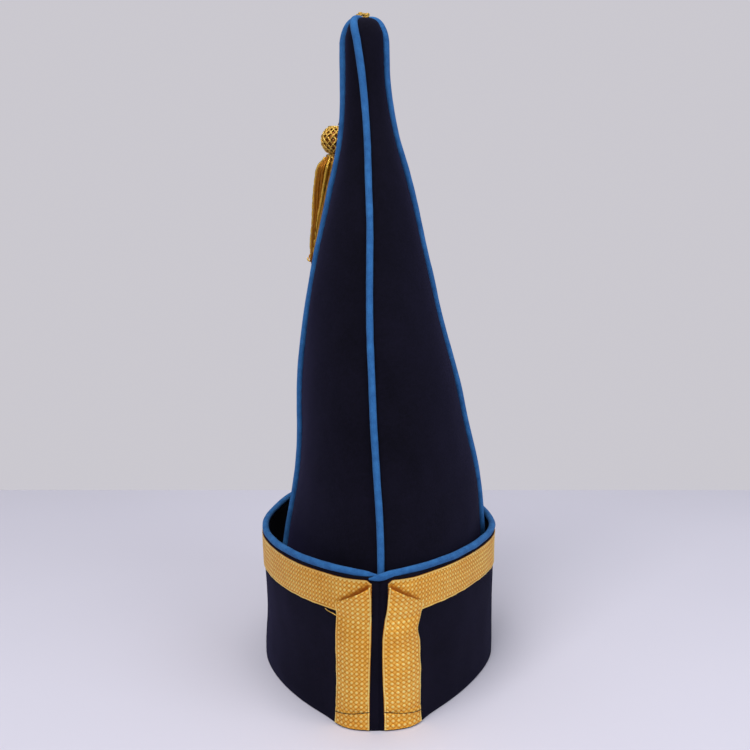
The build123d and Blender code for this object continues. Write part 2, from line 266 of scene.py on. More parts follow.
# ---- materials ------------------------------------------------------------------------------
class Shader:
    """A principled material with short calls for the nodes that this cap needs."""

    def __init__(self, name, roughness, metallic=0.0, **sockets):
        self.material = bpy.data.materials.new(name)
        self.material.use_nodes = True
        self.nodes = self.material.node_tree.nodes
        self.links = self.material.node_tree.links
        self.shader = self.nodes["Principled BSDF"]
        self.shader.inputs["Roughness"].default_value = roughness
        self.shader.inputs["Metallic"].default_value = metallic
        for socket, value in sockets.items():
            self.shader.inputs[socket.replace("_", " ")].default_value = value
        self.height = None
        self.place = self.node("TexCoord")

    def link(self, source, target):
        self.links.new(source, target)

    def node(self, kind, **sockets):
        """A new node with its sockets set, an underscore standing for a space."""
        node = self.nodes.new("ShaderNode" + kind)
        for socket, value in sockets.items():
            node.inputs[socket.replace("_", " ")].default_value = value
        return node

    def noise(self, scale, detail=4.0, roughness=0.6):
        """Noise in object space; scale is features per metre."""
        node = self.node("TexNoise", Scale=scale, Detail=detail, Roughness=roughness)
        self.link(self.place.outputs["Object"], node.inputs["Vector"])
        return node.outputs["Fac"]

    def wave(self, direction, period, distortion=0.0):
        """Bands across the cloth's own uv, period in millimetres along direction."""
        mapping = self.node("Mapping", Rotation=(0, 0, math.radians(direction)))
        self.link(self.place.outputs["UV"], mapping.inputs["Vector"])
        node = self.node("TexWave", Scale=FULL_TURN / (20 * period), Distortion=distortion,
                         Detail_Scale=2.0)
        node.bands_direction = "X"
        self.link(mapping.outputs["Vector"], node.inputs["Vector"])
        return node.outputs["Fac"]

    def math(self, operation, a, b):
        """A math node; a and b are sockets or numbers."""
        node = self.node("Math")
        node.operation = operation
        for socket, value in zip(node.inputs, (a, b)):
            if isinstance(value, (int, float)):
                socket.default_value = value
            else:
                self.link(value, socket)
        return node.outputs[0]

    def blend(self, *parts):
        """The sum of (socket, share) parts."""
        total = None
        for socket, share in parts:
            part = self.math("MULTIPLY", socket, share)
            total = part if total is None else self.math("ADD", total, part)
        return total

    def ramp(self, factor, *stops):
        """A colour ramp from (position, colour) stops."""
        node = self.node("ValToRGB")
        elements = node.color_ramp.elements
        while len(elements) < len(stops):
            elements.new(0.5)
        for element, (position, colour) in zip(elements, stops):
            element.position = position
            element.color = (*colour, 1)
        self.link(factor, node.inputs["Fac"])
        return node.outputs["Color"]

    def colour(self, socket):
        self.link(socket, self.shader.inputs["Base Color"])

    def rough(self, factor, low, high):
        """Roughness between low and high."""
        node = self.node("MapRange", To_Min=low, To_Max=high)
        self.link(factor, node.inputs["Value"])
        self.link(node.outputs["Result"], self.shader.inputs["Roughness"])

    def relief(self, factor, depth, strength=1.0):
        """Bump of depth millimetres, added over what is there."""
        node = self.node("Bump", Strength=strength, Distance=depth * MM)
        self.link(factor, node.inputs["Height"])
        if self.height is not None:
            self.link(self.height, node.inputs["Normal"])
        self.height = node.outputs["Normal"]
        self.link(self.height, self.shader.inputs["Normal"])


def wool(name, dark, light, sheen_tint, sheen):
    """Fulled wool: a matt nap with short fibres and faint cloudiness."""
    s = Shader(name, 0.93, Sheen_Weight=sheen, Sheen_Roughness=0.45, Sheen_Tint=(*sheen_tint, 1),
               Specular_IOR_Level=0.1)
    clouds = s.noise(28, 5, 0.65)
    nap = s.noise(420, 5, 0.8)
    fibres = s.noise(1500, 6, 0.75)
    mixed = s.blend((clouds, 0.35), (nap, 0.35), (fibres, 0.3))
    s.colour(s.ramp(mixed, (0.36, dark), (0.64, light)))
    s.rough(fibres, 0.86, 1.0)
    s.relief(s.noise(700, 4, 0.7), 0.35, 0.55)
    s.relief(fibres, 0.22, 0.8)
    return s.material


def piping_cloth(name, dark, light):
    """Light blue cloth drawn tight over a cord, with its fine twill showing."""
    s = Shader(name, 0.9, Sheen_Weight=0.06, Sheen_Roughness=0.5, Sheen_Tint=(0.5, 0.7, 1, 1),
               Specular_IOR_Level=0.2)
    cloud = s.noise(160, 4, 0.6)
    fibres = s.noise(2200, 5, 0.7)
    s.colour(s.ramp(s.blend((cloud, 0.5), (fibres, 0.5)), (0.34, dark), (0.66, light)))
    s.relief(s.wave(38, 0.55, 1.5), 0.12, 0.6)
    s.relief(fibres, 0.2, 0.7)
    return s.material


def gold_lace(name, deep, mid, bright):
    """Woven metallic lace: threads that run both ways, with painted highlight where they stand proud and
    painted shade between them.
    """
    s = Shader(name, 0.34, 0.78, Specular_IOR_Level=0.5)
    warp = s.wave(45, 0.62, 0.6)
    weft = s.wave(-45, 0.62, 0.6)
    cross = s.math("MAXIMUM", warp, weft)
    proud = s.node("Attribute")
    proud.attribute_name = "proud"
    level = s.blend((proud.outputs["Fac"], 0.8), (cross, 0.16), (s.noise(160, 5, 0.7), 0.2))
    # The colour follows the weave's height: the deep orange in the hollows is painted shade, the pale gold
    # on the proud threads painted highlight.
    s.colour(s.ramp(level, (0.18, deep), (0.47, mid), (0.84, bright)))
    s.rough(s.noise(900, 3, 0.6), 0.28, 0.5)
    s.relief(cross, 0.16, 0.75)
    return s.material


def bullion(name, deep, bright, by_strand=0.0):
    """Twisted metallic thread. by_strand is how much the colour differs from strand to strand."""
    s = Shader(name, 0.3, 0.7, Specular_IOR_Level=0.6)
    grain = s.noise(900, 4, 0.6)
    if by_strand:
        strand = s.node("NewGeometry").outputs["Random Per Island"]
        grain = s.blend((grain, 1 - by_strand), (strand, by_strand))
    s.colour(s.ramp(grain, (0.3, deep), (0.7, bright)))
    s.relief(s.wave(62, 0.35, 0.4), 0.1, 0.7)
    return s.material


def plain_cloth(name, dark, light, roughness=0.9, thread=0.5):
    """Plain woven cotton or canvas, for the inside."""
    s = Shader(name, roughness, Specular_IOR_Level=0.25)
    weave = s.noise(1 / (thread * MM), 2, 0.5)
    s.colour(s.ramp(s.blend((weave, 0.6), (s.noise(60), 0.4)), (0.35, dark), (0.65, light)))
    s.relief(weave, 0.15, 0.7)
    return s.material


def leather(name, dark, light):
    """Thin sweatband leather with a fine grain."""
    s = Shader(name, 0.5, Specular_IOR_Level=0.45)
    grain = s.node("TexVoronoi", Scale=900)
    s.link(s.place.outputs["Object"], grain.inputs["Vector"])
    s.colour(s.ramp(s.noise(90, 5), (0.3, dark), (0.7, light)))
    s.rough(s.noise(150), 0.42, 0.62)
    s.relief(grain.outputs["Distance"], 0.12, 0.6)
    return s.material


def studio_paper(name, tone):
    """Pale matt paper, hardly cloudy."""
    s = Shader(name, 0.9, Specular_IOR_Level=0.2)
    s.colour(s.ramp(s.noise(3, 2, 0.5), (0.3, tone), (0.7, tuple(1.03 * part for part in tone))))
    return s.material


NAVY = wool("navy_wool", (0.0012, 0.001, 0.0035), (0.0052, 0.0044, 0.0125), (0.3, 0.27, 1.0), 0.05)
BLUE = piping_cloth("blue_piping", (0.012, 0.075, 0.235), (0.036, 0.175, 0.45))
GOLD = gold_lace("gold_lace", (0.5, 0.115, 0.006), (0.97, 0.48, 0.05), (1.0, 0.83, 0.3))
BULLION = bullion("gold_bullion", (0.55, 0.24, 0.015), (1.0, 0.72, 0.17))
THREAD = plain_cloth("dark_thread", (0.02, 0.012, 0.008), (0.06, 0.04, 0.02))
CANVAS = plain_cloth("stiff_canvas", (0.34, 0.29, 0.2), (0.5, 0.45, 0.34))
LINING = plain_cloth("lining_cotton", (0.006, 0.006, 0.01), (0.016, 0.016, 0.026), 0.8, 0.35)
LEATHER = leather("sweatband_leather", (0.05, 0.022, 0.01), (0.1, 0.05, 0.022))
WADDING = plain_cloth("wadding", (0.4, 0.38, 0.34), (0.6, 0.58, 0.55), 1.0, 2.0)
FRINGE = bullion("gold_fringe", (0.42, 0.15, 0.005), (1.0, 0.64, 0.09), 0.5)
WOUND = bullion("wound_thread", (0.1, 0.028, 0.003), (0.26, 0.09, 0.008))
FLOOR = studio_paper("floor_paper", (0.66, 0.645, 0.745))
# The surround is pale to the eye, and gives only a little light of its own.
SURROUND_TONE = (0.595, 0.58, 0.625)
SURROUND_LIGHT = 0.24


# ---- the turban's surface --------------------------------------------------------------------
def plan_loop(samples=400):
    """The turban's plan, from the front centre round by the left, as points and rim shares."""
    order = (("front_left", -1, -1, True), ("rear_left", -1, 1, False),
             ("rear_right", 1, 1, True), ("front_right", 1, -1, False))
    points, rises = [], []
    u = np.linspace(0, 1, samples, endpoint=False)
    for name, sx, sy, towards_side in order:
        k = PLAN_FULLNESS[name]
        w, d = TURBAN_HALF_WIDTH, TURBAN_HALF_DEPTH
        t = 1 - u if towards_side else u
        points.append(bezier((sx * w, 0), (sx * w, sy * k * d), (sx * k * w, sy * d), (0, sy * d), t))
        rises.append(t * t * (3 - 2 * t))
    points = np.vstack(points + [points[0][:1]])
    rises = np.r_[np.concatenate(rises), rises[0][0]]
    return points, rises


PLAN, PLAN_RISE = plan_loop()
PLAN_S = run_length(PLAN)
GIRTH = PLAN_S[-1]
tangents = np.gradient(PLAN, PLAN_S, axis=0)
tangents[0] = tangents[-1] = (-1, 0)
PLAN_NORMAL = np.stack([tangents[:, 1], -tangents[:, 0]], 1)
PLAN_NORMAL *= np.sign(np.sum(PLAN_NORMAL * PLAN, 1))[:, None]


def along_plan(table, s):
    """Read a table that runs round the plan at arc length s."""
    s = np.mod(s, GIRTH)
    if table.ndim == 1:
        return np.interp(s, PLAN_S, table)
    return np.stack([np.interp(s, PLAN_S, table[:, i]) for i in range(table.shape[1])], -1)


def rim_height(s):
    """Height of the middle of the rim piping."""
    return RIM_SIDE + (RIM_END - RIM_SIDE) * along_plan(PLAN_RISE, s)


def plan_point(s, z, out):
    """A point out millimetres outside the plain plan, at arc length s and height z."""
    s, z, out = np.broadcast_arrays(np.asarray(s, float), z, out)
    flat = along_plan(PLAN, s) + along_plan(PLAN_NORMAL, s) * out[..., None]
    return np.concatenate([flat, z[..., None]], -1)


def turban_point(s, z, out):
    """A point out millimetres proud of the turban's worn cloth, at arc length s and height z."""
    s, z, out = np.broadcast_arrays(np.asarray(s, float), z, out)
    spot = plan_point(s, z, 0)
    normal = unit(along_plan(PLAN_NORMAL, s))
    left = smoothstep(10, -60, spot[..., 0])
    waist = -WAIST_DEPTH * bump(z, WAIST_HEIGHT, WAIST_SPREAD) * (0.35 + left)
    free = smoothstep(0, 8, z) * smoothstep(0, 10, rim_height(s) - z)
    wander = (0.55 * ripple(spot, 42, 3) + 0.18 * ripple(spot, 15, 4)) * free
    from_nose = np.minimum(np.mod(s, GIRTH), GIRTH - np.mod(s, GIRTH))
    full = NOSE_FOOT + (NOSE_RIM - NOSE_FOOT) * np.clip(z / RIM_END, 0, 1)
    away = out + waist + wander + full * bump(from_nose, NOSE_REACH, NOSE_SPREAD)
    return spot + np.concatenate([normal * away[..., None], 0 * z[..., None]], -1)


def front_s(x):
    """Arc length of the point of the front that has this x, on the left (x < 0) or the right."""
    half = GIRTH / 2
    near = PLAN_S < half if x < 0 else PLAN_S > half
    front = near & (PLAN[:, 1] < 0)
    s, px = PLAN_S[front], PLAN[front][:, 0]
    order = np.argsort(px)
    return float(np.interp(x, px[order], s[order]))


# ---- the turban ------------------------------------------------------------------------------
def turban_cloth(side):
    """One half of the outer cloth, with a turned hem and pressed seams front and rear."""
    half = GIRTH / 2
    s = np.linspace(0, half, 260) if side == "left" else np.linspace(half, GIRTH, 260)
    ease = np.r_[0, 0.35, 0.8]
    s = np.unique(np.r_[s, s[0] + ease, s[-1] - ease])
    outer = np.r_[np.linspace(1.0, 0.06, 44), 0.035, 0.018]
    # Each row of the section: how far out it is, its share of the height, and its lift at the hem's turn.
    section = [(0.0, share, 0.0) for share in outer]
    section += [(-0.12, 0, 0.55), (-0.4, 0, 0.15), (-0.75, 0, 0.0), (-1.1, 0, 0.15), (-1.38, 0, 0.55)]
    section += [(-CLOTH, share, 0.0) for share in np.linspace(0.03, 1.0, 8)]
    out, share, foot = np.array(section).T
    top = rim_height(s)[:, None] - RIM_RADIUS * 0.6
    z = share * top + foot
    pressed = -0.75 * (bump(s, s[0], 0.9) + bump(s, s[-1], 0.9))[:, None]
    grid = turban_point(s[:, None], z, out + np.where(out > -0.2, pressed, 0))
    piece = grid_object(f"turban_{side}_cloth_wool", grid, NAVY, wrap_cols=True, caps=(0, -1), flip=True)
    fit(piece, "turban", "navy_wool", f"turban_{side}_cloth")


def turban_layer(name, node, material, slot, start, wall, foot):
    """The canvas or the lining: a closed sheet that follows the outer cloth all the way round.

    It starts at a depth below the cloth's outside, is wall thick, and ends foot above the hem.
    """
    s = np.linspace(0, GIRTH, 520, endpoint=False)
    share = np.linspace(0, 1, 30)
    top = rim_height(s)[:, None] - RIM_RADIUS
    outer_z = foot + (top - foot) * share
    z = np.concatenate([outer_z, outer_z[:, ::-1]], 1)
    out = np.r_[np.full(len(share), -start), np.full(len(share), -start - wall)]
    grid = turban_point(s[:, None], z, out)
    piece = grid_object(name, grid, material, wrap_rows=True, wrap_cols=True, flip=True)
    fit(piece, "turban", slot, node)


def hem_roll():
    """The turned hem between turban and bag, a rounded roll that puckers a little."""
    s = np.linspace(0, GIRTH, 480, endpoint=False)
    angle = np.linspace(0, FULL_TURN, 16, endpoint=False)
    across, up = (np.sign(wave) * np.abs(wave) ** 0.6 for wave in (np.cos(angle), np.sin(angle)))
    out = -CLOTH - 1.5 - HEM_HALF_WALL + HEM_HALF_WALL * across
    z = HEM_DEPTH / 2 + HEM_DEPTH / 2 * up
    pucker = 0.12 * np.sin(s * FULL_TURN / 4.0)[:, None]
    grid = plan_point(s[:, None], z + np.abs(pucker), out)
    piece = grid_object("hem_roll", grid, NAVY, wrap_rows=True, wrap_cols=True, flip=True)
    fit(piece, "turban", "navy_wool", "hem")


def rim_piping():
    """The corded edge of the turban. Its right end laps over the left one at the front."""
    ends = []
    lap = 6.5
    for side, start, stop in (("left", 1.5, GIRTH / 2), ("right", GIRTH + lap, GIRTH / 2)):
        s = np.linspace(start, stop, 420)
        near = np.abs(s - start)
        over = smoothstep(16, 0, near)
        out = -TURBAN_WALL / 2 + (1.5 if side == "right" else -0.9) * over
        drop = (1.9 if side == "right" else 0.6) * over + 0.9 * smoothstep(26, 0, near)
        path = plan_point(s, rim_height(s) - drop, out)
        path += 0.28 * wave_offsets(path, 19, (11, 12, 13))
        taper = 0.3 + 0.7 * smoothstep(-1, 9, near) ** 0.7
        radius = RIM_RADIUS * 0.94 * (1 + 0.035 * ripple(path, 9, 14)) * taper
        ends.append(tube_object(f"rim_{side}", path, radius, BLUE, sides=18))
    piece = join("rim_piping_cord", ends)
    fit(piece, "turban", "blue_piping", "rim_piping")


def weave(along, across):
    """Height of the lace, 0 to 1: diagonal floats in a basket between two corded edges."""
    u = (along + across) / WEAVE_PITCH / math.sqrt(2)
    v = (along - across) / WEAVE_PITCH / math.sqrt(2)
    odd = np.mod(np.floor(u) + np.floor(v), 2)
    long_way = np.where(odd > 0, u - np.floor(u), v - np.floor(v))
    short_way = np.where(odd > 0, v - np.floor(v), u - np.floor(u))
    floats = np.sin(np.pi * long_way) ** 0.5 * np.sin(np.pi * short_way) ** 0.7
    floats = floats * np.where(odd > 0, 1.0, 0.55)
    edge = np.minimum(across, LACE_WIDTH - across)
    cord = np.sqrt(np.clip(1 - (edge / EDGE_CORD - 1) ** 2, 0, 1))
    cord = cord * (0.86 + 0.14 * np.sin(FULL_TURN * along / 1.7))
    field = smoothstep(1.15, 1.5, edge)
    return np.clip(field * floats + (1 - field) * cord * 0.95, 0, 1)


def mark_proud(obj, height):
    """Keep the weave's height on the mesh, for the material."""
    layer = obj.data.attributes.new("proud", "FLOAT", "POINT")
    layer.data.foreach_set("value", np.asarray(height, np.float32).ravel())


def lace_sheet(name, along, across, place, pressed=0.0):
    """A strip of lace as one closed sheet. place(along, across, out) gives its points."""
    spot = np.stack([along, across, 0 * along], -1)
    uneven = [0.22 * ripple(spot, 7, seed) for seed in (81, 82)]
    worn = 0.86 + 0.14 * ripple(spot, 12, 83)
    # pressed lowers the weave's height: the relief is flattened, and the colour, which follows the height,
    # is darkened as painted shade.
    height = weave(along + uneven[0], across + uneven[1]) * (1 - pressed)
    height = np.clip(height * worn, 0, 1)
    front = place(along, across, LACE_BODY + LACE_RELIEF * (height - 1))
    back = place(along, across, np.zeros_like(along))
    rows, cols = along.shape
    points = np.vstack([front.reshape(-1, 3), back.reshape(-1, 3)])
    faces = grid_faces(rows, cols)
    count = rows * cols
    faces += [[i + count for i in face[::-1]] for face in faces]
    number = np.arange(count).reshape(rows, cols)
    loop = np.r_[number[:, 0], number[-1, 1:], number[-2::-1, -1], number[0, -2:0:-1]].tolist()
    for i, j in zip(loop, loop[1:] + loop[:1]):
        faces.append([j, i, i + count, j + count])
    uv = np.stack([along.ravel(), across.ravel()], 1)
    obj = make_mesh(name, points, faces, GOLD, np.vstack([uv, uv]))
    mark_proud(obj, np.r_[height.ravel(), height.ravel() * 0.4])
    return obj


def lace_top(s):
    """Height of the lace's upper edge."""
    return rim_height(s) - LACE_BELOW_RIM


def fold_line(across):
    """How far below the lace's upper edge the fold's mouth lies, at a distance from the corner."""
    return FOLD_START + FOLD_DROP * np.clip(across / LACE_WIDTH, 0, 1) ** 0.8


def lace_band():
    """The lace round the turban, from one front corner round the rear to the other."""
    step = 0.45
    start = front_s(-LACE_HALF_GAP)
    stop = front_s(LACE_HALF_GAP)
    s = np.arange(start, stop, step)
    t = np.linspace(0, LACE_WIDTH, int(LACE_WIDTH / step))
    along, across = np.meshgrid(s, t, indexing="ij")
    near_end = np.minimum(along - start, stop - along)
    rounding = 2.2 * (1 - smoothstep(0, 3.5, near_end)) * bump(across, 0, 3)
    # The weave is pressed flat along the fold's mouth, which also darkens the lace's colour there: a painted
    # shadow of the fold.
    under = bump(across, fold_line(near_end), 2.4) * smoothstep(LACE_WIDTH + 2, LACE_WIDTH - 6, near_end)
    pressed = 0.9 * np.clip(under * smoothstep(0, 3, near_end) * 1.3, 0, 1)

    def place(a, b, out):
        sway = 0.35 * ripple(np.stack([a, b * 0, b * 0], -1), 30, 21)
        return turban_point(a, lace_top(a) - b * 0.985 - rounding + sway, LACE_LIFT + out)

    piece = lace_sheet("lace_band_woven", along, across, place, pressed)
    fit(piece, "turban", "gold_lace", "lace_band")


def strip_shape(sx, down, across):
    """Sideways shift and lift of a front strip: the left lies flat, the right one cockles."""
    share = across / LACE_WIDTH
    if sx < 0:
        inner = 1.3 * smoothstep(22, 78, down)
        outer = 1.5 * smoothstep(16, 46, down) - 0.3 * bump(down, 78, 7)
        return -(inner + (outer - inner) * share), 0.25 * bump(down, 45, 20)
    inner = 3.0 * smoothstep(10, 42, down) - 1.2 * smoothstep(52, 96, down)
    outer = (1.2 * smoothstep(30, 12, down) + 3.6 * bump(down, 36, 7.5) + 0.9 * bump(down, 52, 9)
             + 0.5 * smoothstep(60, 90, down))
    lift = 1.5 * bump(down, 36, 8) + 0.6 * bump(down, 60, 9)
    return (inner * (1 - share) + (outer - 1.2) * share), lift * np.sin(np.pi * share) ** 0.7


def strip_frame(sx):
    """Where a front strip lies: a function from (down, across, out) to points."""
    start = front_s(sx * LACE_HALF_GAP)
    way = 1 if sx < 0 else -1
    top = float(lace_top(start))

    def place(down, across, out):
        shift, lift = strip_shape(sx, down, across)
        tack = 0.45 * bump(top - down, TACK_HEIGHT, 1.0)
        s = start + way * (across - shift)
        doubled = smoothstep(LACE_WIDTH + 3.5, LACE_WIDTH - 2.5, down) * (LACE_BODY + 0.35)
        return turban_point(s, top - down, LACE_LIFT + out + lift + doubled - tack)

    return place, top


def lace_strip(side, sx):
    """The lace that folds over the band's corner and runs down to the hem."""
    place, top = strip_frame(sx)
    step = 0.42
    t = np.linspace(0, LACE_WIDTH, int(LACE_WIDTH / step))
    length = top - STRIP_FOOT
    rows = np.linspace(0, 1, int(length / step))
    head = fold_line(t)
    down = head[None, :] + rows[:, None] * (length - head[None, :])
    across = np.broadcast_to(t, down.shape)

    def rolled(a, b, out):
        past = a - head[None, :]
        stand = (0.8 + 2.2 * bump(b, 5, 8)) * bump(past, 0, 6)
        roll = stand + 0.3 * bump(past, 1.1, 0.9) - 0.5 * (1 - smoothstep(0, 0.8, past))
        return place(a, b, out + np.where(out > 0, roll, stand * 0.85))

    piece = lace_sheet(f"lace_strip_{side}_woven", down, across, rolled)
    fit(piece, "turban", "gold_lace", f"lace_strip_{side}", f"lace_fold_{side}")


def lace_stitches():
    """Dark tacking stitches across the foot of each strip."""
    stitches = []
    for sx in (-1, 1):
        place, top = strip_frame(sx)
        count = 9
        for i in range(count):
            t = (i + 0.5) * LACE_WIDTH / count + np.linspace(-0.42, 0.42, 7) * LACE_WIDTH / count
            tilt = 4.3 * t / LACE_WIDTH - 0.6
            arch = 0.22 * np.sin(np.linspace(0, np.pi, 7)) - 0.12
            down = top - TACK_HEIGHT + tilt
            path = place(down, t, LACE_BODY - 0.15 + arch)
            stitches.append(tube_object("stitch", path, TACK_THREAD, THREAD, sides=8))
    piece = join("lace_tacking", stitches)
    fit(piece, "turban", "dark_thread", "lace_stitches")


def loose_thread():
    """A loose end of gold thread under the band, left of the left strip."""
    s0 = front_s(-LACE_HALF_GAP) + LACE_WIDTH
    t = np.linspace(0, 1, 24)
    s = s0 - 1.5 + 12.5 * t
    z = float(lace_top(s0)) - LACE_WIDTH - 3.6 + 2.6 * t + 0.6 * np.sin(t * 5)
    path = turban_point(s, z, 0.5 + 0.7 * np.sin(t * np.pi))
    piece = tube_object("loose_gold_thread", path, LOOSE_THREAD, BULLION, sides=8)
    fit(piece, "turban", "gold_bullion")


# ---- the bag ---------------------------------------------------------------------------------
def bag_outline(z):
    """Half width, half depth, lean and front seam offset at each height, smooth between the rows."""
    table = BAG_OUTLINE
    heights = table[:, 0]
    slopes = np.gradient(table[:, 1:], heights, axis=0)
    z = np.clip(np.asarray(z, float), heights[0], heights[-1])
    i = np.clip(np.searchsorted(heights, z, side="right") - 1, 0, len(heights) - 2)
    span = (heights[i + 1] - heights[i])[..., None]
    t = ((z - heights[i]) / (heights[i + 1] - heights[i]))[..., None]
    a, b = table[i, 1:], table[i + 1, 1:]
    return ((1 + 2 * t) * (1 - t) ** 2 * a + t * (1 - t) ** 2 * span * slopes[i]
            + t * t * (3 - 2 * t) * b + t * t * (t - 1) * span * slopes[i + 1])


def bag_section(level):
    """Section sizes at a level: millimetres up to BAG_TOP, then 0 to 1 over the rounded tip."""
    level = np.asarray(level, float)
    over = np.clip(level - BAG_TOP, 0, 1)
    z = np.where(level > BAG_TOP, BAG_TOP + DOME_HEIGHT * np.sin(over * math.pi / 2), level)
    shrink = np.where(level > BAG_TOP, np.cos(over * math.pi / 2) ** 0.65, 1.0)
    w, d, lean, stray = np.moveaxis(bag_outline(level), -1, 0)
    stray = np.maximum(stray - 2.4 * np.sin(over * 2.8), -0.8 * w * shrink)
    return z, w * shrink, d * shrink, lean + 0.6 * over, stray


def seam_point(level, side, inset=0.0):
    """A point of one seam: front, rear, left or right, moved inside the cloth by inset."""
    z, w, d, lean, stray = bag_section(level)
    w, d = np.maximum(w - inset, 0.05), np.maximum(d - inset, 0.05)
    x = {"left": lean - w, "right": lean + w, "front": lean + stray, "rear": lean}[side]
    y = {"left": 0 * d, "right": 0 * d, "front": -d, "rear": d}[side]
    return np.stack([x, y, z], -1)


def gore_point(quarter, level, u, inset):
    """A point of a gore at a level, u from its side seam (0) to its front or rear seam (1)."""
    sx, sy = QUARTERS[quarter]
    side = seam_point(level, "left" if sx < 0 else "right", inset)
    end = seam_point(level, "front" if sy < 0 else "rear", inset)
    z = side[..., 2]
    base = PLAN_FULLNESS[quarter] if sy > 0 else BAG_FRONT_FULLNESS
    share = np.clip(z / BAG_TOP, 0, 1)
    full = (base + (TIP_FULLNESS - base) * share ** 0.8)[..., None]
    a, b = side[..., :2], end[..., :2]
    h1 = np.stack([a[..., 0], full[..., 0] * b[..., 1]], -1)
    h2 = np.stack([b[..., 0] + full[..., 0] * (a[..., 0] - b[..., 0]), b[..., 1]], -1)
    return np.concatenate([bezier(a, h1, h2, b, u), z[..., None]], -1)


def bag_levels(low, high, step):
    """Levels of the rows of a piece of the bag; high None runs over the tip."""
    top = BAG_TOP if high is None else high
    rows = np.linspace(low, top, int((top - low) / step))
    return rows if high is not None else np.r_[rows, BAG_TOP + np.linspace(0, 0.995, 13)[1:]]


def gore_piece(quarter, part, low, high):
    """The lower or upper length of a gore: cloth with thickness, drawn in at its seams."""
    levels = bag_levels(low, high, 2.6)
    u = (1 - np.cos(np.linspace(0, np.pi, 46))) / 2
    level, uu = np.meshgrid(levels, u, indexing="ij")
    rest = gore_point(quarter, level, uu, 0)
    inner = gore_point(quarter, level, uu, BAG_CLOTH)
    outward = rest - inner
    outward /= np.maximum(np.linalg.norm(outward, axis=-1, keepdims=True), TINY)
    edge = np.minimum(uu, 1 - uu)
    _, w, d, _, _ = bag_section(level)
    reach = edge * (w + d)
    drawn = -0.9 * np.exp(-reach / 2.2)
    seed = sorted(QUARTERS).index(quarter) * 10
    fullness = smoothstep(0, 14, reach) * smoothstep(452, 380, rest[..., 2])
    soft = 0.9 * ripple(rest, 46, seed + 31) + 0.3 * ripple(rest, 17, seed + 32)
    pucker = 0.22 * np.sin(rest[..., 2] * FULL_TURN / 7.5 + seed) * np.exp(-reach / 6)
    outer = rest + outward * (drawn + soft * fullness + pucker)[..., None]
    grid = np.concatenate([outer, inner[:, ::-1]], 1)
    sx, sy = QUARTERS[quarter]
    return grid_object(f"bag_{quarter}_gore_{part}", grid, NAVY, wrap_cols=True, flip=sx != sy)


def seam_piping_piece(side, part, low, high):
    """The lower or upper length of the corded piping in one seam. Each tucks into the other."""
    if part == "lower":
        levels = bag_levels(low, high + PIPING_TUCK, 1.6)
        past_split = levels - BAG_SPLIT
    else:
        levels = bag_levels(low - PIPING_TUCK, high, 1.6)
        levels = levels[levels < BAG_TOP + PIPING_END]
        past_split = BAG_SPLIT - levels
    points = seam_point(levels, side)
    inner = seam_point(levels, side, 2.0)
    outward = points - inner
    if side in ("front", "rear"):
        outward[:, 0] = 0
    over_tip = np.clip(levels - BAG_TOP, 0, 1)
    outward[:, 2] += 1.5 * over_tip
    proud = PIPING_PROUD - 2.6 * over_tip
    path = points + unit(outward) * proud[:, None]
    sway = 0.35 * wave_offsets(path, 24, (41, 42, 43))
    path = path + sway * smoothstep(6, 20, path[:, 2])[:, None]
    thick = 1 + 0.12 * smoothstep(380, 430, path[:, 2])
    tuck = 1 - 0.15 * smoothstep(0, PIPING_TUCK, past_split)
    radius = PIPING_RADIUS * (1 + 0.03 * ripple(path, 8, 44)) * thick * tuck
    radius = radius * smoothstep(1.15, 0.5, levels - BAG_TOP) ** 0.5
    return tube_object(f"bag_{side}_piping_{part}", path, radius, BLUE, sides=16)


def lining_ring(levels, inset):
    """Closed rings of points round the inside of the bag, one for each level."""
    quarters = []
    for quarter, backwards in (("front_left", True), ("rear_left", False), ("rear_right", True),
                               ("front_right", False)):
        u = np.linspace(0, 1, 24, endpoint=False)
        u = 1 - u if backwards else u
        level, uu = np.meshgrid(levels, u, indexing="ij")
        quarters.append(gore_point(quarter, level, uu, inset))
    return np.concatenate(quarters, 1)


def lining_piece(part, low, high):
    """The cotton lining inside the bag, one tube of thin cloth."""
    levels = bag_levels(low, high, 6.0)
    levels = levels[levels < BAG_TOP + 0.9]
    faces = []
    for inset in (BAG_CLOTH + LINING_GAP, BAG_CLOTH + LINING_GAP + LINING_CLOTH):
        ring = lining_ring(levels, inset)
        centre = ring.mean(axis=1, keepdims=True)
        soft = 1 - 0.01 * (1 + ripple(ring, 25, 51))[..., None] * np.array([1, 1, 0])
        faces.append(centre + (ring - centre) * soft)
    grid = np.concatenate([faces[0], faces[1][::-1]])
    return grid_object(f"bag_lining_{part}", grid, LINING, wrap_rows=True, wrap_cols=True)


def wadding_fill():
    """The soft filling of the tip, rounded like the tip and a little lumpy."""
    levels = np.r_[np.linspace(394, BAG_TOP, 16), BAG_TOP + np.linspace(0, 0.86, 8)[1:]]
    ring = lining_ring(levels, BAG_CLOTH + 1.7)
    centre = ring.mean(axis=1, keepdims=True)
    lumps = 0.95 + 0.03 * ripple(ring, 7, 71)[..., None]
    ring = centre + (ring - centre) * np.where(np.arange(3) < 2, lumps, 1.0) - (0, 0, 2.2)
    piece = grid_object("tip_wadding_fill", ring, WADDING, wrap_cols=True, caps=(0, -1))
    fit(piece, "bag_tip", "wadding", "tip_wadding")


def bag_length(part, low, high, canvas):
    """One length of the bag: gores, pipings and lining, with their transforms baked and the CAD nodes they
    stand for hidden.
    """
    pieces = [(gore_piece(quarter, part, low, high), [f"bag_{quarter}_gore"], "navy_wool")
              for quarter in QUARTERS]
    pieces += [(seam_piping_piece(side, part, low, high), [f"bag_{side}_piping"], "blue_piping")
               for side in ("front", "rear", "left", "right")]
    pieces.append((lining_piece(part, low, high), canvas, "lining_cotton"))
    for piece, nodes, slot in pieces:
        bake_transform(piece)
        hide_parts(*nodes)


